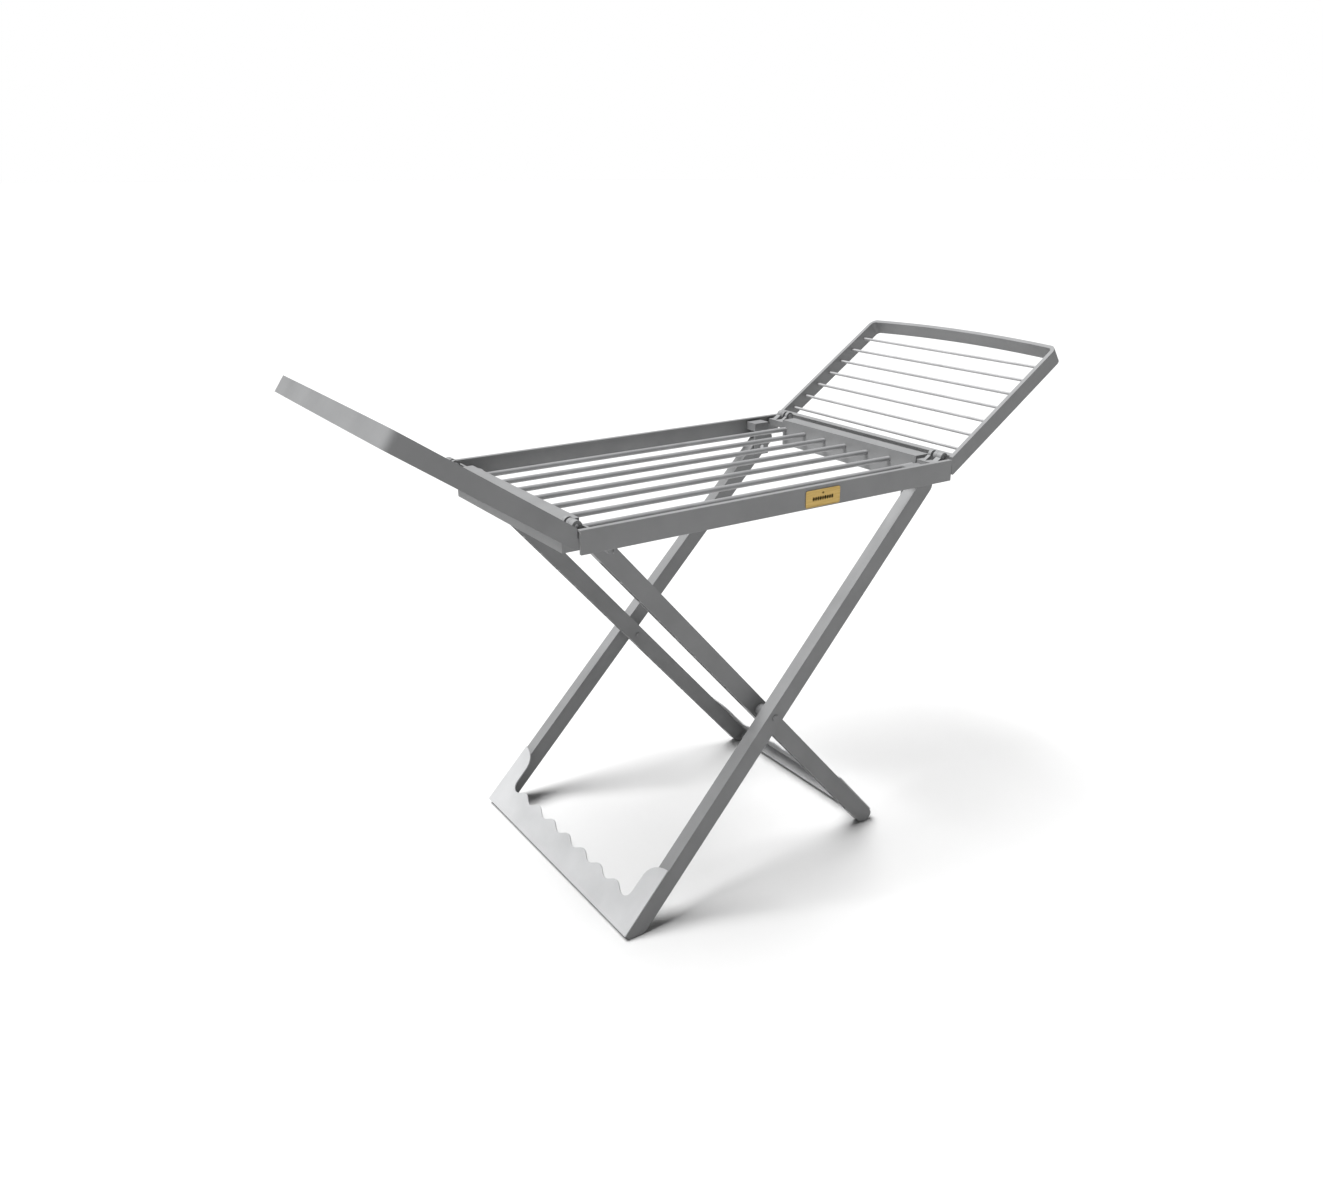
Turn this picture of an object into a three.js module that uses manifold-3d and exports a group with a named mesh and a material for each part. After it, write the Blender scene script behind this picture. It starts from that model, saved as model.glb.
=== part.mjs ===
// Folding clothes drying rack: a tray of rods on crossed leg frames, with a hinged wing at each end.
// Millimetres, +Z up, X along the rack, Y across it. The origin is on the floor under the tray's middle.
import * as THREE from 'three';
import { mergeVertices } from 'three/addons/utils/BufferGeometryUtils.js';
import Module from 'manifold-3d';

const wasm = await Module();
wasm.setup();

// ---- driving dimensions ----
const GAP = 0.3; // between pieces that touch
const PLAY = 0.35; // round a pin in its bore, and round a rod in its socket

const TRAY = { halfLength: 417, halfWidth: 280, top: 796.5 };
const RAIL = { depth: 42, wall: 6, lip: 10, lipThickness: 4 };
const CROSS_BAR = { inner: 383, depth: 56.5, halfSpan: 214, wall: 5, top: 4 };
const CORNER_TAB = { x0: 385, x1: 405, z0: 776, z1: 790 }; // joins cross bar and rail
const TRAY_ROD = { count: 7, pitch: 68.33, radius: 5.25, z: 776, halfLength: 388 };

const WING_RISE = 34.3; // degrees above level, as it stands in use
const WING_HINGE = { x: 412.7, z: 798.5, pin: 3.5, knuckle: 9.5, head: 6 };
const WING_KNUCKLE = { y0: 240, y1: 248.5 };
const TRAY_LUGS = [[226, 234], [249, 262]]; // either side of the wing's knuckle
const WING = { halfWidth: 277, side: 9, depth: 32.5, drop: 3, corner: 18, reach: 352, bow: 9, endWall: 8 };
const WING_HEEL = { x: 8.3, corner: 10 }; // how far outside the hinge the side rails begin
const HINGE_BAR = { u0: 10.5, u1: 17.5, depth: 20 };
const WING_ROD = { count: 7, first: 45, pitch: 42.6, radius: 3, drop: 16, socket: 4 };

const CROSSING = { x: -16.2, z: 353.8 }; // where the two leg frames are pinned together
const OUTER_LEG = { angle: 46.82, up: 522.8, tip: 546, down: 490, half: 285.5, thickness: 28, splay: 0.0252, heel: 0, cover: 5, flange: 9 };
const INNER_LEG = { angle: 49.12, up: 524, tip: 524, down: 465, half: 237, thickness: 20, splay: 0, heel: 13, cover: -1, flange: 23 };
const LEG_DEPTH = 35.4;
const LEG_WALL = 3.5;
const LEG_RIB = 4;
const LEG_CELLS = 8; // moulded pockets each side of the crossing
const SOLID_END = 30; // solid material kept round each pivot
const FOOT_CORNER = 12;
const PIVOT_PIN_RADIUS = 5;

const PLATE = { thickness: 3, height: 59.5, wave: 6.5, scallops: 7, ribs: [6, 16, 26, 36, 46], rib: 2, ribDepth: 1.2 };
const GUSSET = { reach: 23.4, round: 19.3, bottom: 71, straight: 108, top: 143 };

const BRACKET = { y0: 238.5, y1: 242.8, x0: 322, x1: 361, z0: 717, z1: 790, blockZ: 772 };
const CATCH = { x0: -372, x1: -346, y0: 246, z0: 755.6, z1: 775, stop: 7, stopZ: 745 };
const PEG = { inner: 221, outer: 272 };
const CROSSING_PIN = { inner: 214, radius: 5, head: 7, headThickness: 2.5 };
const SPACER_RADIUS = 12;
const BADGE = { x0: 44, x1: 125, z0: 757.5, z1: 789.5, thickness: 1.2, corner: 4 };

const radians = THREE.MathUtils.degToRad;

// ---- materials ----
const surface = (color, roughness, metalness) =>
  new THREE.MeshStandardMaterial({ color, roughness, metalness });
const greyPlastic = surface(0x8f9193, 0.55, 0);
const traySteel = surface(0x8b8d90, 0.4, 0.3);
const wingSteel = surface(0xcfd0d1, 0.35, 0.4);
const pinSteel = surface(0x9a9c9f, 0.35, 0.9);
const brass = surface(0xbba175, 0.35, 0.9);

// ---- solids: build from three.js geometry, join and cut ----
function toSolid(geometry) {
  const bare = geometry.clone();
  bare.deleteAttribute('normal');
  bare.deleteAttribute('uv');
  const merged = mergeVertices(bare, 1e-4);
  return new wasm.Manifold(new wasm.Mesh({
    numProp: 3,
    vertProperties: new Float32Array(merged.attributes.position.array),
    triVerts: new Uint32Array(merged.index.array),
  }));
}

function fromSolid(solid) {
  const mesh = solid.getMesh();
  const geometry = new THREE.BufferGeometry();
  geometry.setAttribute('position', new THREE.BufferAttribute(new Float32Array(mesh.vertProperties), 3));
  geometry.setIndex(new THREE.BufferAttribute(new Uint32Array(mesh.triVerts), 1));
  geometry.computeVertexNormals();
  return geometry;
}

const joined = (...geometries) => geometries.map(toSolid).reduce((sum, solid) => sum.add(solid));

// Two values in rising order, so a range can be handed over from either side of the middle.
const rising = (a, b) => [Math.min(a, b), Math.max(a, b)];

function box([x0, x1], [y0, y1], [z0, z1]) {
  const geometry = new THREE.BoxGeometry(x1 - x0, y1 - y0, z1 - z0);
  return geometry.translate((x0 + x1) / 2, (y0 + y1) / 2, (z0 + z1) / 2);
}

function barAlongY(x, z, radius, [y0, y1], sides = 16) {
  const geometry = new THREE.CylinderGeometry(radius, radius, y1 - y0, sides);
  return geometry.translate(x, (y0 + y1) / 2, z);
}

function barAlongX(y, z, radius, [x0, x1], sides = 16) {
  const geometry = new THREE.CylinderGeometry(radius, radius, x1 - x0, sides).rotateZ(Math.PI / 2);
  return geometry.translate((x0 + x1) / 2, y, z);
}

// An outline in the XZ plane, given depth along Y from y0 to y1.
function slabInXZ(shape, [y0, y1], curveSegments = 8) {
  const geometry = new THREE.ExtrudeGeometry(shape, { depth: y1 - y0, bevelEnabled: false, curveSegments });
  return geometry.rotateX(Math.PI / 2).translate(0, y1, 0);
}

// A mirrored copy for another corner; an odd mirror swaps each triangle's winding.
function mirrored(geometry, sx, sy) {
  const copy = geometry.clone().scale(sx, sy, 1);
  if (sx * sy < 0) {
    const index = copy.index.array;
    for (let i = 0; i < index.length; i += 3) {
      [index[i], index[i + 1]] = [index[i + 1], index[i]];
    }
  }
  copy.computeVertexNormals();
  return copy;
}

const root = new THREE.Group();
root.name = 'drying_rack';

function addPiece(name, geometry, material, parent = root) {
  const mesh = new THREE.Mesh(geometry, material);
  mesh.name = name;
  parent.add(mesh);
}

const ENDS = [['left', -1], ['right', 1]];
const SIDES = [['near', -1], ['far', 1]];

// ---- tray rails: a wall with a lip folded inward along its top ----
const railInner = TRAY.halfWidth - RAIL.wall;
for (const [sideName, side] of SIDES) {
  const length = [-TRAY.halfLength, TRAY.halfLength];
  const outer = side * TRAY.halfWidth;
  const wall = box(length, rising(outer, side * railInner), [TRAY.top - RAIL.depth, TRAY.top]);
  const lip = box(length, rising(outer, side * (TRAY.halfWidth - RAIL.lip)),
    [TRAY.top - RAIL.lipThickness, TRAY.top]);
  addPiece(`${sideName}_rail`, fromSolid(joined(wall, lip)), greyPlastic);
}

// ---- tray cross bars: hollow and open below, with a socket for each rod and a hinge lug at each end ----
const evenly = (count, first, pitch) => Array.from({ length: count }, (_, i) => first + i * pitch);
const trayRodPlaces = evenly(TRAY_ROD.count, -TRAY_ROD.pitch * (TRAY_ROD.count - 1) / 2, TRAY_ROD.pitch);

function lugShape() {
  const { x, z, knuckle } = WING_HINGE;
  const shape = new THREE.Shape();
  shape.moveTo(CORNER_TAB.x0 + 3, CORNER_TAB.z0 + 1);
  shape.lineTo(x, CORNER_TAB.z0 + 1);
  shape.lineTo(x + knuckle, z);
  shape.absarc(x, z, knuckle, 0, Math.PI, false);
  shape.lineTo(CORNER_TAB.x0 + 3, CORNER_TAB.z1 - 1);
  return shape;
}

// The cross bar's outline in the XZ plane.
function crossBarShape(inset, topInset, drop) {
  const low = TRAY.top - CROSS_BAR.depth - drop;
  const shape = new THREE.Shape();
  shape.moveTo(CROSS_BAR.inner + inset, low);
  shape.lineTo(TRAY.halfLength - inset, low);
  shape.lineTo(TRAY.halfLength - inset, TRAY.top - topInset);
  shape.lineTo(CROSS_BAR.inner + inset, TRAY.top - topInset);
  return shape;
}

function crossBar() {
  const { halfSpan, wall, top } = CROSS_BAR;
  let solid = toSolid(slabInXZ(crossBarShape(0, 0, 0), [-halfSpan, halfSpan]));
  solid = solid.subtract(toSolid(slabInXZ(crossBarShape(wall, top, 1), [-halfSpan + wall, halfSpan - wall])));
  for (const y of trayRodPlaces) {
    const bore = barAlongX(y, TRAY_ROD.z, TRAY_ROD.radius + PLAY, [CROSS_BAR.inner - 1, CROSS_BAR.inner + wall + 1]);
    solid = solid.subtract(toSolid(bore));
  }
  for (const [, side] of SIDES) {
    const tab = box([CORNER_TAB.x0, CORNER_TAB.x1], rising(side * (halfSpan - 1), side * (railInner - GAP)),
      [CORNER_TAB.z0, CORNER_TAB.z1]);
    solid = solid.add(toSolid(tab));
    for (const [y0, y1] of TRAY_LUGS) {
      const lug = slabInXZ(lugShape(), rising(side * y0, side * y1));
      const bore = barAlongY(WING_HINGE.x, WING_HINGE.z, WING_HINGE.pin + PLAY, rising(side * (y0 - 1), side * (y1 + 1)));
      solid = solid.add(toSolid(lug)).subtract(toSolid(bore));
    }
  }
  return fromSolid(solid);
}
const crossBarGeometry = crossBar();
for (const [endName, sx] of ENDS) {
  addPiece(`${endName}_cross_bar`, mirrored(crossBarGeometry, sx, 1), greyPlastic);
}

// ---- tray rods, numbered from the near side ----
trayRodPlaces.forEach((y, i) => {
  const length = [-TRAY_ROD.halfLength, TRAY_ROD.halfLength];
  addPiece(`tray_rod_${i + 1}`, barAlongX(y, TRAY_ROD.z, TRAY_ROD.radius, length), traySteel);
});

// ---- wing hinge pins, headed on the inner side ----
for (const [endName, sx] of ENDS) {
  for (const [sideName, side] of SIDES) {
    const x = sx * WING_HINGE.x;
    const shank = barAlongY(x, WING_HINGE.z, WING_HINGE.pin,
      rising(side * (TRAY_LUGS[0][0] - GAP), side * (TRAY_LUGS[1][1] - 1)));
    const head = barAlongY(x, WING_HINGE.z, WING_HINGE.head,
      rising(side * (TRAY_LUGS[0][0] - GAP), side * (TRAY_LUGS[0][0] - GAP - 2.2)));
    addPiece(`hinge_pin_${endName}_${sideName}`, fromSolid(joined(shank, head)), pinSteel);
  }
}

// ---- maker's plate on the near rail, with rounded corners ----
function badgeShape() {
  const { x0, x1, z0, z1, corner } = BADGE;
  const shape = new THREE.Shape();
  shape.absarc(x1 - corner, z0 + corner, corner, -Math.PI / 2, 0, false);
  shape.absarc(x1 - corner, z1 - corner, corner, 0, Math.PI / 2, false);
  shape.absarc(x0 + corner, z1 - corner, corner, Math.PI / 2, Math.PI, false);
  shape.absarc(x0 + corner, z0 + corner, corner, Math.PI, Math.PI * 1.5, false);
  return shape;
}
addPiece('name_plate', fromSolid(toSolid(slabInXZ(badgeShape(),
  [-TRAY.halfWidth - GAP - BADGE.thickness, -TRAY.halfWidth - GAP], 5))), brass);

// ---- wings: one moulded frame and its rods, drawn flat and tilted up into place ----
// Flat drawing: the hinge axis is the origin, X runs outward and the wing's top plane lies just below Z = 0.
const bowRadius = ((WING.halfWidth - WING.corner) ** 2 + WING.bow ** 2) / (2 * WING.bow);

function wingOutline(start, side, end, corner) {
  const half = WING.halfWidth - side;
  const centre = WING.reach + WING.bow - bowRadius;
  const radius = bowRadius - end;
  const turn = Math.asin((half - corner) / (radius - corner));
  const cornerX = centre + (radius - corner) * Math.cos(turn);
  const outline = new THREE.Shape();
  outline.moveTo(start, -half);
  outline.lineTo(cornerX, -half);
  outline.absarc(cornerX, -(half - corner), corner, -Math.PI / 2, -turn, false);
  outline.absarc(centre, 0, radius, -turn, turn, false);
  outline.absarc(cornerX, half - corner, corner, turn, Math.PI / 2, false);
  outline.lineTo(start, half);
  return outline;
}

// The side rails' hinge end is cut upright as the wing stands in use, with its lower corner rounded.
function heelShape() {
  const rise = radians(WING_RISE);
  const cutAt = (z) => (WING_HEEL.x + (z - WING.drop) * Math.sin(rise)) / Math.cos(rise);
  const low = -WING.depth;
  const shape = new THREE.Shape();
  shape.moveTo(cutAt(0), 0);
  shape.lineTo(cutAt(low) + WING_HEEL.corner * Math.sin(rise), low + WING_HEEL.corner * Math.cos(rise));
  shape.quadraticCurveTo(cutAt(low), low, cutAt(low) + WING_HEEL.corner, low);
  shape.lineTo(HINGE_BAR.u1, low);
  shape.lineTo(HINGE_BAR.u1, 0);
  return shape;
}

const wingRodPlaces = evenly(WING_ROD.count, WING_ROD.first, WING_ROD.pitch);
const wingRodZ = -WING_ROD.drop - WING.drop;

function wingFrame() {
  const slab = (shape, low, high) => toSolid(
    new THREE.ExtrudeGeometry(shape, { depth: high - low, bevelEnabled: false, curveSegments: 10 })
      .translate(0, 0, low));
  const inner = WING.halfWidth - WING.side;
  let solid = slab(wingOutline(HINGE_BAR.u0, 0, 0, WING.corner), -WING.depth, 0);
  solid = solid.subtract(slab(wingOutline(HINGE_BAR.u1, WING.side, WING.endWall, WING.corner - WING.side),
    -WING.depth - 1, 1));
  solid = solid.subtract(toSolid(box([0, HINGE_BAR.u1 + 1], [-inner, inner], [-WING.depth - 1, -HINGE_BAR.depth])));
  for (const [, side] of SIDES) {
    solid = solid.add(toSolid(slabInXZ(heelShape(), rising(side * inner, side * WING.halfWidth))));
  }
  solid = solid.translate([0, 0, -WING.drop]);
  for (const [, side] of SIDES) {
    const span = rising(side * WING_KNUCKLE.y0, side * WING_KNUCKLE.y1);
    solid = solid.add(toSolid(barAlongY(0, 0, WING_HINGE.knuckle, span)));
    solid = solid.add(toSolid(box([0, HINGE_BAR.u0 + 1], span, [-WING_HINGE.knuckle + 1, -WING.drop])));
    solid = solid.subtract(toSolid(barAlongY(0, 0, WING_HINGE.pin + PLAY, [span[0] - 1, span[1] + 1])));
  }
  const socket = inner + WING_ROD.socket + GAP;
  for (const x of wingRodPlaces) {
    solid = solid.subtract(toSolid(barAlongY(x, wingRodZ, WING_ROD.radius + PLAY, [-socket, socket], 12)));
  }
  return fromSolid(solid);
}
const wingFrameGeometry = wingFrame();

for (const [endName, sx] of ENDS) {
  const wing = new THREE.Group();
  wing.position.set(sx * WING_HINGE.x, 0, WING_HINGE.z);
  wing.rotation.y = -sx * radians(WING_RISE);
  root.add(wing);
  addPiece(`${endName}_wing_frame`, mirrored(wingFrameGeometry, sx, 1), greyPlastic, wing);
  wingRodPlaces.forEach((x, i) => {
    const half = WING.halfWidth - WING.side + WING_ROD.socket;
    const rod = barAlongY(sx * x, wingRodZ, WING_ROD.radius, [-half, half], 12);
    addPiece(`${endName}_wing_rod_${i + 1}`, rod, wingSteel, wing);
  });
}

// ---- leg frames ----
// Each leg is drawn along X from its foot (negative) to its pivot (up) and its rounded tip, with the crossing at the origin,
// its show face at +Z and its moulded pockets open at -Z, then turned to its slope.
const legHalf = LEG_DEPTH / 2;

function legOutline(leg) {
  const slope = radians(leg.angle);
  const floorAt = (z) => -CROSSING.z / Math.sin(slope) - z / Math.tan(slope);
  const toe = floorAt(-legHalf);
  const shape = new THREE.Shape();
  shape.moveTo(toe + FOOT_CORNER, -legHalf);
  shape.absarc(leg.tip, 0, legHalf, -Math.PI / 2, Math.PI / 2, false);
  const heelZ = (floorAt(0) + leg.down) * Math.tan(slope);
  shape.lineTo(leg.heel - leg.down, legHalf);
  shape.quadraticCurveTo(-leg.down, legHalf, -leg.down, Math.max(heelZ, legHalf - 1.5 * leg.heel));
  shape.lineTo(-leg.down, heelZ);
  shape.lineTo(floorAt(FOOT_CORNER - legHalf), FOOT_CORNER - legHalf);
  shape.quadraticCurveTo(toe, -legHalf, toe + FOOT_CORNER, -legHalf);
  return shape;
}

// One leg, its inner and outer faces at -thickness/2 and +thickness/2.
function legSolid(leg, side) {
  const half = leg.thickness / 2;
  let solid = toSolid(slabInXZ(legOutline(leg), [-half, half]));
  for (const [from, to] of [[-leg.down + 2 * SOLID_END, -SOLID_END], [SOLID_END, leg.up - SOLID_END]]) {
    const pitch = (to - from) / LEG_CELLS;
    for (const start of evenly(LEG_CELLS, from, pitch)) {
      const cell = box([start + LEG_RIB, start + pitch], [-half + LEG_WALL, half - LEG_WALL],
        [-legHalf - 1, legHalf - LEG_WALL]);
      solid = solid.subtract(toSolid(cell));
    }
  }
  // The crossing's bore goes right through; a covered pivot's bore stops short of the outer face.
  solid = solid.subtract(toSolid(barAlongY(0, 0, PIVOT_PIN_RADIUS + PLAY, [-half - 1, half + 1])));
  const pivotBore = rising(-side * (half + 1), side * (half - leg.cover));
  solid = solid.subtract(toSolid(barAlongY(leg.up, 0, PIVOT_PIN_RADIUS + PLAY, pivotBore)));
  return fromSolid(solid);
}

// Foot plate outline: X up the legs from the plate's lower edge, Y across the frame.
function plateShape(leg) {
  const outerAt = (height) => leg.half + leg.splay * (leg.down - height);
  const edge = outerAt(0) - leg.thickness - GUSSET.reach;
  const valley = edge - GUSSET.round;
  const wave = (y) => PLATE.height + PLATE.wave * Math.cos((Math.PI * PLATE.scallops * y) / valley);
  const steps = PLATE.scallops * 8;
  const shape = new THREE.Shape();
  shape.moveTo(0, -outerAt(0));
  shape.lineTo(0, outerAt(0));
  shape.lineTo(GUSSET.top, outerAt(GUSSET.top));
  shape.quadraticCurveTo(GUSSET.top - 6, edge + 4, GUSSET.straight, edge);
  shape.lineTo(GUSSET.bottom, edge);
  shape.quadraticCurveTo(PLATE.height - PLATE.wave, edge - 2, wave(valley), valley);
  for (let i = 1; i <= steps; i += 1) {
    const y = valley - (2 * valley * i) / steps;
    shape.lineTo(wave(y), y);
  }
  shape.quadraticCurveTo(PLATE.height - PLATE.wave, 2 - edge, GUSSET.bottom, -edge);
  shape.lineTo(GUSSET.straight, -edge);
  shape.quadraticCurveTo(GUSSET.top - 6, -edge - 4, GUSSET.top, -outerAt(GUSSET.top));
  return shape;
}

// The plate lies on the legs' show faces, stiffened behind by ribs and by a flange along its lower edge.
function footPlate(leg) {
  const sheet = new THREE.ExtrudeGeometry(plateShape(leg),
    { depth: PLATE.thickness, bevelEnabled: false, curveSegments: 6 });
  let solid = toSolid(sheet);
  const reach = leg.half + leg.splay * (leg.down - PLATE.ribs.at(-1)) - leg.thickness - 2; // between the legs
  for (const height of PLATE.ribs) {
    const rib = box([height, height + PLATE.rib], [-reach, reach], [-PLATE.ribDepth, 1]);
    solid = solid.add(toSolid(rib));
  }
  solid = solid.add(toSolid(box([0, PLATE.thickness], [-reach, reach], [-leg.flange, 1])));
  return fromSolid(solid).translate(leg.heel - leg.down, 0, legHalf + GAP);
}

function addLegFrame(prefix, leg, lean) {
  const frame = new THREE.Group();
  frame.position.set(CROSSING.x, 0, CROSSING.z);
  frame.rotation.y = -lean * radians(leg.angle);
  root.add(frame);
  for (const [sideName, side] of SIDES) {
    const geometry = legSolid(leg, side);
    const place = geometry.attributes.position;
    for (let i = 0; i < place.count; i += 1) {
      const middle = leg.half - leg.thickness / 2 - leg.splay * place.getX(i);
      place.setY(i, place.getY(i) + side * middle);
    }
    addPiece(`${prefix}_leg_${sideName}`, mirrored(geometry, lean, 1), greyPlastic, frame);
  }
  addPiece(`${prefix}_foot_plate`, mirrored(footPlate(leg), lean, 1), greyPlastic, frame);
}
addLegFrame('outer', OUTER_LEG, 1);
addLegFrame('inner', INNER_LEG, -1);

// ---- pins, spacers, brackets and catches, one of each on both sides ----
const topOf = (leg, lean) => ({
  x: CROSSING.x + lean * leg.up * Math.cos(radians(leg.angle)),
  z: CROSSING.z + leg.up * Math.sin(radians(leg.angle)),
});
const trayPivot = topOf(OUTER_LEG, 1);
const pegPlace = topOf(INNER_LEG, -1);

function bracket(side) {
  const plate = box([BRACKET.x0, BRACKET.x1], rising(side * BRACKET.y0, side * BRACKET.y1), [BRACKET.z0, BRACKET.z1]);
  const block = box([BRACKET.x0, BRACKET.x1], rising(side * BRACKET.y0, side * (railInner - GAP)),
    [BRACKET.blockZ, BRACKET.z1]);
  const bore = barAlongY(trayPivot.x, trayPivot.z, PIVOT_PIN_RADIUS + PLAY,
    rising(side * (BRACKET.y0 - 1), side * (BRACKET.y1 + 1)));
  return fromSolid(joined(plate, block).subtract(toSolid(bore)));
}

// The catch bears on top of the peg, with a stop on the peg's inner side.
function catchBlock(side) {
  const span = rising(side * CATCH.y0, side * (railInner - GAP));
  const block = box([CATCH.x0, CATCH.x1], span, [CATCH.z0, CATCH.z1]);
  const stop = box([CATCH.x1 - CATCH.stop, CATCH.x1], span, [CATCH.stopZ, CATCH.z0 + 1]);
  return fromSolid(joined(block, stop));
}

function crossingPin(side) {
  const outer = OUTER_LEG.half + GAP;
  const shank = barAlongY(CROSSING.x, CROSSING.z, CROSSING_PIN.radius, rising(side * CROSSING_PIN.inner, side * outer));
  const head = barAlongY(CROSSING.x, CROSSING.z, CROSSING_PIN.head,
    rising(side * outer, side * (outer + CROSSING_PIN.headThickness)), 24);
  return fromSolid(joined(shank, head));
}

function spacer(side) {
  const span = rising(side * (INNER_LEG.half + GAP), side * (OUTER_LEG.half - OUTER_LEG.thickness - 2 * GAP));
  const ring = toSolid(barAlongY(CROSSING.x, CROSSING.z, SPACER_RADIUS, span, 24));
  const bore = barAlongY(CROSSING.x, CROSSING.z, CROSSING_PIN.radius + PLAY, [span[0] - 1, span[1] + 1]);
  return fromSolid(ring.subtract(toSolid(bore)));
}

for (const [sideName, side] of SIDES) {
  addPiece(`leg_bracket_${sideName}`, bracket(side), greyPlastic);
  addPiece(`catch_block_${sideName}`, catchBlock(side), greyPlastic);
  addPiece(`crossing_pin_${sideName}`, crossingPin(side), pinSteel);
  addPiece(`crossing_spacer_${sideName}`, spacer(side), greyPlastic);
  const pivotSpan = rising(side * (BRACKET.y0 - 1), side * (railInner - 7.4));
  addPiece(`tray_pivot_pin_${sideName}`, barAlongY(trayPivot.x, trayPivot.z, PIVOT_PIN_RADIUS, pivotSpan), pinSteel);
  const pegSpan = rising(side * PEG.inner, side * PEG.outer);
  addPiece(`catch_peg_${sideName}`, barAlongY(pegPlace.x, pegPlace.z, PIVOT_PIN_RADIUS, pegSpan), pinSteel);
}

export default root;
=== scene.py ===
# A folding clothes drying rack: grey moulded plastic legs, tray and wings, with steel drying rods.
# Metres, +Z up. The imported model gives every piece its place; this script gives it its looks.
import math
import bpy
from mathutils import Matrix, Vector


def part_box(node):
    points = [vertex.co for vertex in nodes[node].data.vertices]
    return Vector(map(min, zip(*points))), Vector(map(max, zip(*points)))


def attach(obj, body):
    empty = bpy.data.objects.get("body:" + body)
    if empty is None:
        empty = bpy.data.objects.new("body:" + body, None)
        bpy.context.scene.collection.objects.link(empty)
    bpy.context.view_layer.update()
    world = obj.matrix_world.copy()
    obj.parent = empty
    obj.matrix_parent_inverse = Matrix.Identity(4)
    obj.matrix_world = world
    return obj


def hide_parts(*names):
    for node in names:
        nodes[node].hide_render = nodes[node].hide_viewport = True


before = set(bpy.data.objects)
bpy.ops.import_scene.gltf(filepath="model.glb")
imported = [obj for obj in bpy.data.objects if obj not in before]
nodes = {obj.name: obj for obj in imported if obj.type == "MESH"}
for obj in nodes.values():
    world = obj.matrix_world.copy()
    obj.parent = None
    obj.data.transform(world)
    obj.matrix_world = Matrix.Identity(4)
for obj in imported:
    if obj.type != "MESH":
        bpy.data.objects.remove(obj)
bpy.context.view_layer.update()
scene = bpy.context.scene
bpy.ops.object.select_all(action="DESELECT")

# ---- camera ----
# At standing height off the rack's front left corner, looking across it and a little down.
camera_data = bpy.data.cameras.new("camera")
camera_data.lens = 30.6
camera_data.sensor_width = 36
camera_data.shift_x = -0.0275
camera = bpy.data.objects.new("camera", camera_data)
camera.location = (-1.2242, -1.7916, 1.3253)
camera.rotation_euler = (math.radians(90 - 20.49), 0, math.radians(-34.34))
scene.collection.objects.link(camera)
scene.camera = camera

# ---- studio floor ----
# A plain pale floor that runs well past the rack on every side, with a faint matt tooth. It lies just
# under the feet.
floor_size = 400
floor_top = -0.0005
bpy.ops.mesh.primitive_grid_add(x_subdivisions=20, y_subdivisions=20, size=floor_size,
                                location=(0, 0, floor_top))
floor = bpy.context.object
floor.name = "studio_floor"
floor_look = bpy.data.materials.new("studio_floor")
floor_look.use_nodes = True
floor_tree = floor_look.node_tree
floor_shader = floor_tree.nodes["Principled BSDF"]
floor_shader.inputs["Base Color"].default_value = (0.60, 0.60, 0.60, 1)
floor_shader.inputs["Roughness"].default_value = 0.9
floor_grain = floor_tree.nodes.new("ShaderNodeTexNoise")
floor_grain.inputs["Scale"].default_value = 300
floor_bump = floor_tree.nodes.new("ShaderNodeBump")
floor_bump.inputs["Strength"].default_value = 0.02
floor_tree.links.new(floor_grain.outputs["Fac"], floor_bump.inputs["Height"])
floor_tree.links.new(floor_bump.outputs["Normal"], floor_shader.inputs["Normal"])
floor.data.materials.append(floor_look)

# ---- studio light ----
# A white sweep, with soft light mostly from overhead and a little from the rack's left end.
world = bpy.data.worlds.new("studio")
world.use_nodes = True
world_nodes = world.node_tree.nodes
world_links = world.node_tree.links
fill = world_nodes["Background"]
fill.inputs["Color"].default_value = (1, 1, 1, 1)
fill.inputs["Strength"].default_value = 0.16
sweep = world_nodes.new("ShaderNodeBackground")
sweep.inputs["Color"].default_value = (1, 1, 1, 1)
seen = world_nodes.new("ShaderNodeLightPath")
choose = world_nodes.new("ShaderNodeMixShader")
world_links.new(seen.outputs["Is Camera Ray"], choose.inputs["Fac"])
world_links.new(fill.outputs["Background"], choose.inputs[1])
world_links.new(sweep.outputs["Background"], choose.inputs[2])
world_links.new(choose.outputs["Shader"], world_nodes["World Output"].inputs["Surface"])
scene.world = world
overhead_data = bpy.data.lights.new("overhead", "SUN")
overhead_data.energy = 6.0
overhead_data.angle = math.radians(35)
overhead = bpy.data.objects.new("overhead", overhead_data)
overhead.location = (-0.8, 0.4, 3)
overhead.rotation_euler = (math.radians(-10), math.radians(-17), 0)
scene.collection.objects.link(overhead)
scene.view_settings.view_transform = "Standard"

# ---- outer legs ----
# The outer pair of legs are channels moulded in grey filled polypropylene, ribbed on their inner side.
# The mould leaves a fine spark-eroded grain over slow flow marks, and every edge slightly rounded.
grain = bpy.data.node_groups.new("moulded_grain", "ShaderNodeTree")
grain.interface.new_socket("Height", in_out="OUTPUT", socket_type="NodeSocketFloat")
grain.interface.new_socket("Shade", in_out="OUTPUT", socket_type="NodeSocketFloat")
grain.interface.new_socket("Scuffs", in_out="OUTPUT", socket_type="NodeSocketFloat")
grain_place = grain.nodes.new("ShaderNodeTexCoord")
grain_out = grain.nodes.new("NodeGroupOutput")
pebbles = grain.nodes.new("ShaderNodeTexVoronoi")
pebbles.inputs["Scale"].default_value = 900
flow = grain.nodes.new("ShaderNodeTexNoise")
flow.inputs["Scale"].default_value = 14
flow.inputs["Detail"].default_value = 5
scuffs = grain.nodes.new("ShaderNodeTexNoise")
scuffs.inputs["Scale"].default_value = 60
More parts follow.
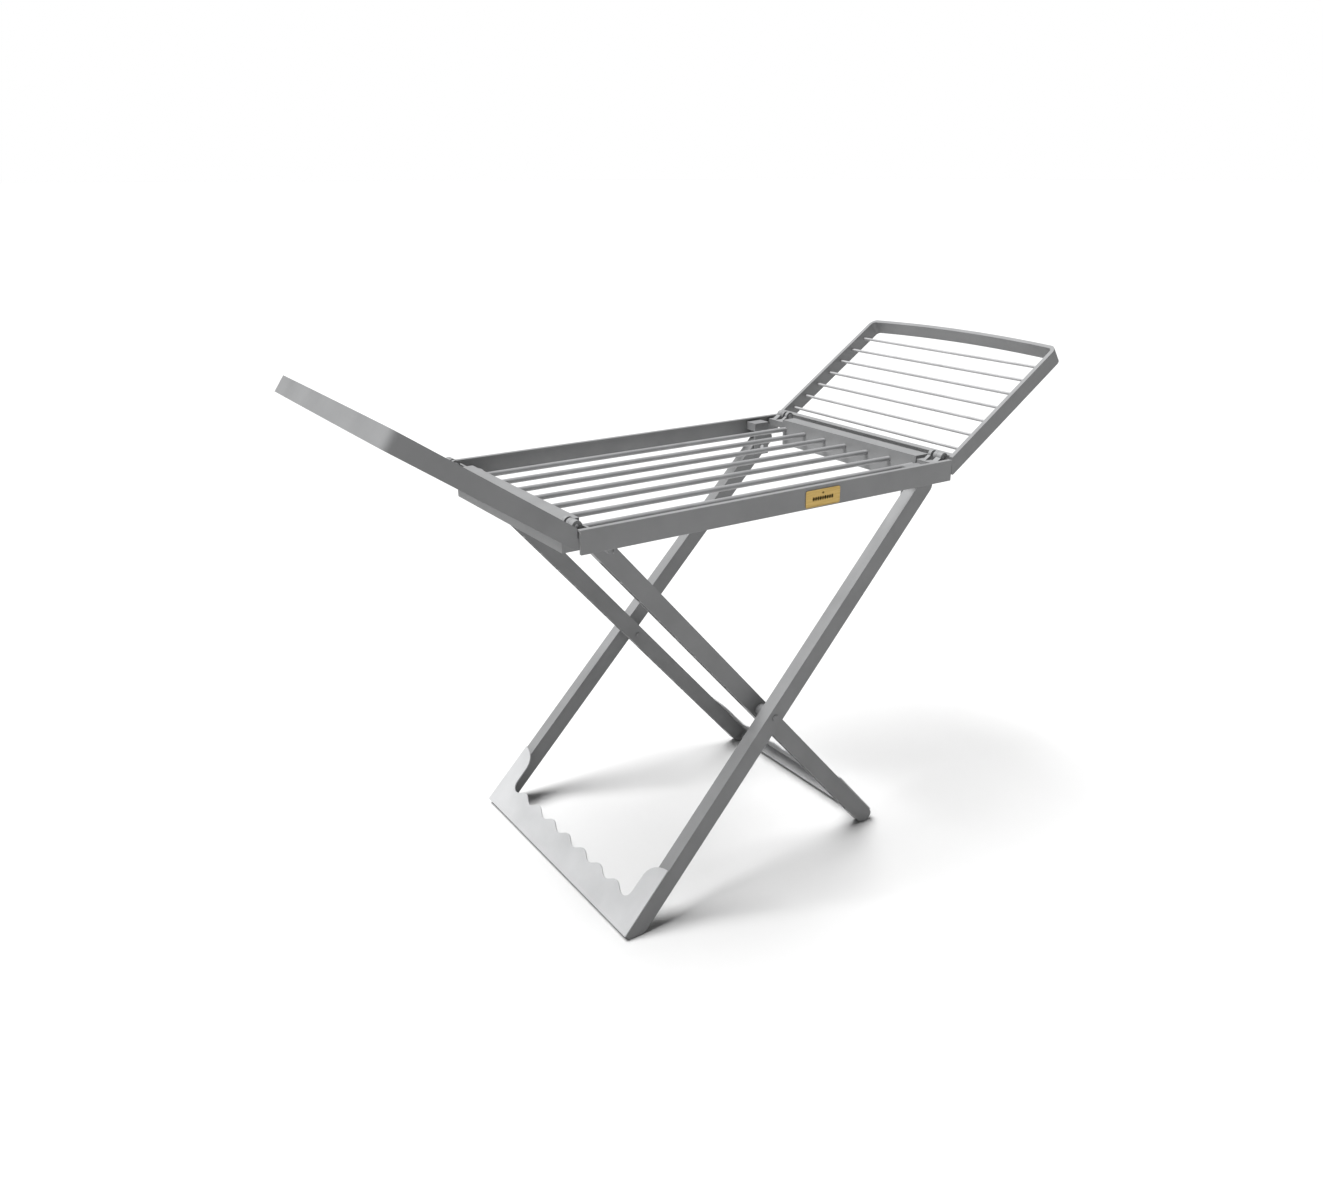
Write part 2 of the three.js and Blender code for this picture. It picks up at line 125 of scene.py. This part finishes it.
scuffs.inputs["Detail"].default_value = 9
scuffs.inputs["Roughness"].default_value = 0.7
for texture in (pebbles, flow, scuffs):
    grain.links.new(grain_place.outputs["Object"], texture.inputs["Vector"])
grain.links.new(pebbles.outputs["Distance"], grain_out.inputs["Height"])
grain.links.new(flow.outputs["Fac"], grain_out.inputs["Shade"])
grain.links.new(scuffs.outputs["Fac"], grain_out.inputs["Scuffs"])

# A piece's faces are joined at their shared corners and shaded smooth, ready for its edges to be rounded.
# Only edges sharper than a round piece's facets are rounded.
merge_gap = 0.00001
facet_angle = math.radians(35)
joined = bpy.data.node_groups.new("joined_faces", "GeometryNodeTree")
joined.is_modifier = True
joined.interface.new_socket("Geometry", in_out="INPUT", socket_type="NodeSocketGeometry")
joined.interface.new_socket("Geometry", in_out="OUTPUT", socket_type="NodeSocketGeometry")
loose = joined.nodes.new("NodeGroupInput")
merge = joined.nodes.new("GeometryNodeMergeByDistance")
merge.inputs["Distance"].default_value = merge_gap
drop = joined.nodes.new("GeometryNodeRemoveAttribute")
drop.inputs["Name"].default_value = "custom_normal"
smooth = joined.nodes.new("GeometryNodeSetShadeSmooth")
whole = joined.nodes.new("NodeGroupOutput")
joined.links.new(loose.outputs["Geometry"], merge.inputs["Geometry"])
joined.links.new(merge.outputs["Geometry"], drop.inputs["Geometry"])
joined.links.new(drop.outputs["Geometry"], smooth.inputs["Geometry"])
joined.links.new(smooth.outputs["Geometry"], whole.inputs["Geometry"])


def ramp(tree, dark, light):
    shade = tree.nodes.new("ShaderNodeValToRGB")
    shade.color_ramp.elements[0].position = 0.3
    shade.color_ramp.elements[0].color = (*dark, 1)
    shade.color_ramp.elements[1].position = 0.7
    shade.color_ramp.elements[1].color = (*light, 1)
    return shade


def plastic(name, dark, light, gloss):
    look = bpy.data.materials.new(name)
    look.use_nodes = True
    tree = look.node_tree
    shader = tree.nodes["Principled BSDF"]
    shader.inputs["Specular IOR Level"].default_value = 0.45
    texture = tree.nodes.new("ShaderNodeGroup")
    texture.node_tree = grain
    shade = ramp(tree, dark, light)
    rough = tree.nodes.new("ShaderNodeMapRange")
    rough.inputs["To Min"].default_value = gloss - 0.09
    rough.inputs["To Max"].default_value = gloss + 0.09
    bump = tree.nodes.new("ShaderNodeBump")
    bump.inputs["Strength"].default_value = 0.16
    bump.inputs["Distance"].default_value = 0.0004
    tree.links.new(texture.outputs["Shade"], shade.inputs["Fac"])
    tree.links.new(shade.outputs["Color"], shader.inputs["Base Color"])
    tree.links.new(texture.outputs["Scuffs"], rough.inputs["Value"])
    tree.links.new(rough.outputs["Result"], shader.inputs["Roughness"])
    tree.links.new(texture.outputs["Height"], bump.inputs["Height"])
    tree.links.new(bump.outputs["Normal"], shader.inputs["Normal"])
    return look


def finish_piece(name, look, edge_radius):
    piece = nodes[name]
    for material_slot in piece.material_slots:
        material_slot.material = look
    faces = piece.modifiers.new("joined_faces", "NODES")
    faces.node_group = joined
    rounded = piece.modifiers.new("rounded_edges", "BEVEL")
    rounded.limit_method = "ANGLE"
    rounded.angle_limit = facet_angle
    rounded.width = edge_radius
    rounded.segments = 2
    rounded.use_clamp_overlap = True
    rounded.harden_normals = True


frame_edge = 0.0009
leg_plastic = plastic("leg_plastic", (0.200, 0.202, 0.204), (0.230, 0.232, 0.235), 0.50)
for name in ("outer_leg_near", "outer_leg_far"):
    finish_piece(name, leg_plastic, frame_edge)

# ---- foot plates ----
# Each pair of legs is tied at its feet by one wavy-edged plate, moulded paler than the legs, with ribs
# along its back. A gusset at each of its ends runs up the leg and holds it square.
plate_edge = 0.0006
plate_plastic = plastic("plate_plastic", (0.400, 0.403, 0.408), (0.450, 0.454, 0.459), 0.46)
for name in ("outer_foot_plate", "inner_foot_plate"):
    finish_piece(name, plate_plastic, plate_edge)

# ---- crossing pins and spacers ----
# The two pairs of legs turn on each other at a grey capped pin, with a moulded washer between them.
washer_edge = 0.0005
fitting_plastic = plastic("fitting_plastic", (0.190, 0.192, 0.196), (0.220, 0.222, 0.226), 0.55)
for side in ("near", "far"):
    finish_piece("crossing_pin_" + side, leg_plastic, washer_edge)
    finish_piece("crossing_spacer_" + side, fitting_plastic, washer_edge)

# ---- inner legs and catch pegs ----
# The inner pair of legs are the same channels, a little narrower. A moulded peg through each top end
# rests in the tray's catch when the rack stands open.
peg_edge = 0.0005
for side in ("near", "far"):
    finish_piece("inner_leg_" + side, leg_plastic, frame_edge)
    finish_piece("catch_peg_" + side, fitting_plastic, peg_edge)

# ---- tray rails and cross bars ----
# The tray is four mouldings joined at the corners: two long rails with a lip, and two deep cross bars
# that carry the rod ends and the hinges.
tray_plastic = plastic("tray_plastic", (0.220, 0.222, 0.225), (0.250, 0.252, 0.255), 0.50)
for name in ("near_rail", "far_rail", "left_cross_bar", "right_cross_bar"):
    finish_piece(name, tray_plastic, frame_edge)

# ---- leg brackets and catch blocks ----
# Under one end of the rails a moulded bracket holds each outer leg's pivot. Under the other end a
# block stops the inner leg's peg.
block_edge = 0.0006
for side in ("near", "far"):
    finish_piece("leg_bracket_" + side, fitting_plastic, block_edge)
    finish_piece("catch_block_" + side, fitting_plastic, block_edge)

# ---- tray rods ----
# Seven thin steel tubes pushed into the cross bars, powder coated a mid grey. The coat has a faint
# orange peel and slow clouds of gloss.
rods_in_each_frame = 7
rod_edge = 0.0004


def coated_steel(name, colour, metallic, gloss_low, gloss_high, peel_scale, peel_depth):
    look = bpy.data.materials.new(name)
    look.use_nodes = True
    tree = look.node_tree
    shader = tree.nodes["Principled BSDF"]
    shader.inputs["Metallic"].default_value = metallic
    place = tree.nodes.new("ShaderNodeTexCoord")
    peel = tree.nodes.new("ShaderNodeTexNoise")
    peel.inputs["Scale"].default_value = peel_scale
    peel.inputs["Detail"].default_value = 4
    cloud = tree.nodes.new("ShaderNodeTexNoise")
    cloud.inputs["Scale"].default_value = 25
    cloud.inputs["Detail"].default_value = 6
    tint = ramp(tree, [0.90 * c for c in colour], [1.06 * c for c in colour])
    rough = tree.nodes.new("ShaderNodeMapRange")
    rough.inputs["To Min"].default_value = gloss_low
    rough.inputs["To Max"].default_value = gloss_high
    bump = tree.nodes.new("ShaderNodeBump")
    bump.inputs["Strength"].default_value = peel_depth
    bump.inputs["Distance"].default_value = 0.0003
    tree.links.new(place.outputs["Object"], peel.inputs["Vector"])
    tree.links.new(place.outputs["Object"], cloud.inputs["Vector"])
    tree.links.new(cloud.outputs["Fac"], tint.inputs["Fac"])
    tree.links.new(tint.outputs["Color"], shader.inputs["Base Color"])
    tree.links.new(cloud.outputs["Fac"], rough.inputs["Value"])
    tree.links.new(rough.outputs["Result"], shader.inputs["Roughness"])
    tree.links.new(peel.outputs["Fac"], bump.inputs["Height"])
    tree.links.new(bump.outputs["Normal"], shader.inputs["Normal"])
    return look


tray_rod_coat = coated_steel("tray_rod_coat", (0.285, 0.287, 0.292), 0.0, 0.28, 0.42, 450, 0.12)
for number in range(1, rods_in_each_frame + 1):
    finish_piece(f"tray_rod_{number}", tray_rod_coat, rod_edge)

# ---- pivot and hinge pins ----
# Bright steel pins pushed through the legs' brackets and the wings' knuckles, with turned heads.
pin_edge = 0.0004
pin_steel = coated_steel("pin_steel", (0.50, 0.50, 0.51), 1.0, 0.25, 0.42, 900, 0.10)
for side in ("near", "far"):
    finish_piece("tray_pivot_pin_" + side, pin_steel, pin_edge)
    finish_piece("hinge_pin_left_" + side, pin_steel, pin_edge)
    finish_piece("hinge_pin_right_" + side, pin_steel, pin_edge)

# ---- wings ----
# Each wing is one moulded frame with a bowed end, two hinge knuckles and blind sockets for its rods.
# Its seven rods are thin steel wire with a pale coat.
wing_plastic = plastic("wing_plastic", (0.205, 0.207, 0.210), (0.235, 0.237, 0.240), 0.48)
wing_rod_coat = coated_steel("wing_rod_coat", (0.40, 0.40, 0.405), 0.0, 0.25, 0.38, 700, 0.10)
for side in ("left", "right"):
    finish_piece(side + "_wing_frame", wing_plastic, frame_edge)
    for number in range(1, rods_in_each_frame + 1):
        finish_piece(f"{side}_wing_rod_{number}", wing_rod_coat, rod_edge)

# ---- name plate ----
# A thin brass plate glued to the near rail's outer face. Its corners are rounded, and a stamped
# field leaves a raised rim all round.
corner_radius = 0.004
rim_land = 0.0012
rim_slope = 0.0006
field_depth = 0.0003
softening = 0.00012
low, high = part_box("name_plate")
middle = [(a + b) / 2 for a, b in zip(low, high)]
front = low[1]
bpy.ops.object.select_all(action="DESELECT")
bpy.ops.mesh.primitive_cube_add(size=1, location=middle, scale=[b - a for a, b in zip(low, high)])
plate = bpy.context.object
plate.name = "brass_plate"
bpy.ops.object.transform_apply(location=True, rotation=True, scale=True)
bpy.ops.object.mode_set(mode="EDIT")
bpy.ops.mesh.select_mode(type="EDGE")
bpy.ops.mesh.select_all(action="DESELECT")
bpy.ops.object.mode_set(mode="OBJECT")
for edge in plate.data.edges:
    a, b = (plate.data.vertices[index].co for index in edge.vertices)
    edge.select = abs(a.x - b.x) < 1e-6 and abs(a.z - b.z) < 1e-6
bpy.ops.object.mode_set(mode="EDIT")
bpy.ops.mesh.bevel(offset=corner_radius, segments=6, affect="EDGES")
bpy.ops.mesh.select_mode(type="FACE")
bpy.ops.mesh.select_all(action="DESELECT")
bpy.ops.object.mode_set(mode="OBJECT")
for face in plate.data.polygons:
    face.select = face.normal.y < -0.99
bpy.ops.object.mode_set(mode="EDIT")
bpy.ops.mesh.inset(thickness=rim_land)
bpy.ops.mesh.inset(thickness=rim_slope)
bpy.ops.transform.translate(value=(0, field_depth, 0))
bpy.ops.object.mode_set(mode="OBJECT")
soft = plate.modifiers.new("soft_edges", "BEVEL")
soft.limit_method = "ANGLE"
soft.angle_limit = math.radians(20)
soft.width = softening
soft.segments = 2
bpy.ops.object.modifier_apply(modifier="soft_edges")

brass = bpy.data.materials.new("brass")
brass.use_nodes = True
tree = brass.node_tree
shader = tree.nodes["Principled BSDF"]
shader.inputs["Metallic"].default_value = 0.85
place = tree.nodes.new("ShaderNodeTexCoord")
stretch = tree.nodes.new("ShaderNodeMapping")
stretch.inputs["Scale"].default_value = (30, 400, 1500)
brushing = tree.nodes.new("ShaderNodeTexNoise")
brushing.inputs["Scale"].default_value = 1
brushing.inputs["Detail"].default_value = 6
tint = ramp(tree, (0.42, 0.28, 0.085), (0.60, 0.43, 0.16))
rough = tree.nodes.new("ShaderNodeMapRange")
rough.inputs["To Min"].default_value = 0.30
rough.inputs["To Max"].default_value = 0.50
bump = tree.nodes.new("ShaderNodeBump")
bump.inputs["Strength"].default_value = 0.15
bump.inputs["Distance"].default_value = 0.0002
tree.links.new(place.outputs["Object"], stretch.inputs["Vector"])
tree.links.new(stretch.outputs["Vector"], brushing.inputs["Vector"])
tree.links.new(brushing.outputs["Fac"], tint.inputs["Fac"])
tree.links.new(tint.outputs["Color"], shader.inputs["Base Color"])
tree.links.new(brushing.outputs["Fac"], rough.inputs["Value"])
tree.links.new(rough.outputs["Result"], shader.inputs["Roughness"])
tree.links.new(brushing.outputs["Fac"], bump.inputs["Height"])
tree.links.new(bump.outputs["Normal"], shader.inputs["Normal"])
plate.data.materials.append(brass)
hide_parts("name_plate")
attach(plate, "tray")

# ---- plate pattern ----
# Dark enamel laid on the brass field: a small diamond over a row of nine pointed leaves. Each motif has
# its place across and up from the plate's middle, and its half width and half height.
enamel_thickness = 0.0002
leaf_count = 9
leaf_pitch = 0.0055
first_leaf = -leaf_pitch * (leaf_count - 1) / 2
motifs = [(0.0, 0.0085, 0.0022, 0.0022)]
for number in range(leaf_count):
    motifs.append((first_leaf + leaf_pitch * number, -0.001, 0.0024, 0.0042))
point_sharpness = 1.6
leaves = []
for x, z, half_width, half_height in motifs:
    bpy.ops.object.select_all(action="DESELECT")
    bpy.ops.mesh.primitive_circle_add(vertices=16, radius=1, fill_type="NGON", location=(0, 0, 0))
    leaf = bpy.context.object
    for vertex in leaf.data.vertices:
        across, up = vertex.co.x, vertex.co.y
        pinched = math.copysign(abs(across) ** point_sharpness, across)
        vertex.co = (middle[0] + x + pinched * half_width,
                     front + field_depth,
                     middle[2] + z + up * half_height)
    leaves.append(leaf)
for leaf in leaves:
    leaf.select_set(True)
bpy.ops.object.join()
pattern = bpy.context.object
pattern.name = "plate_pattern"
thick = pattern.modifiers.new("thickness", "SOLIDIFY")
thick.thickness = enamel_thickness
bpy.ops.object.modifier_apply(modifier="thickness")
enamel = bpy.data.materials.new("dark_enamel")
enamel.use_nodes = True
tree = enamel.node_tree
shader = tree.nodes["Principled BSDF"]
shader.inputs["Roughness"].default_value = 0.35
place = tree.nodes.new("ShaderNodeTexCoord")
cloud = tree.nodes.new("ShaderNodeTexNoise")
cloud.inputs["Scale"].default_value = 600
tint = ramp(tree, (0.035, 0.022, 0.012), (0.07, 0.045, 0.025))
bump = tree.nodes.new("ShaderNodeBump")
bump.inputs["Strength"].default_value = 0.1
bump.inputs["Distance"].default_value = 0.0001
tree.links.new(place.outputs["Object"], cloud.inputs["Vector"])
tree.links.new(cloud.outputs["Fac"], tint.inputs["Fac"])
tree.links.new(tint.outputs["Color"], shader.inputs["Base Color"])
tree.links.new(cloud.outputs["Fac"], bump.inputs["Height"])
tree.links.new(bump.outputs["Normal"], shader.inputs["Normal"])
pattern.data.materials.append(enamel)
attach(pattern, "tray")
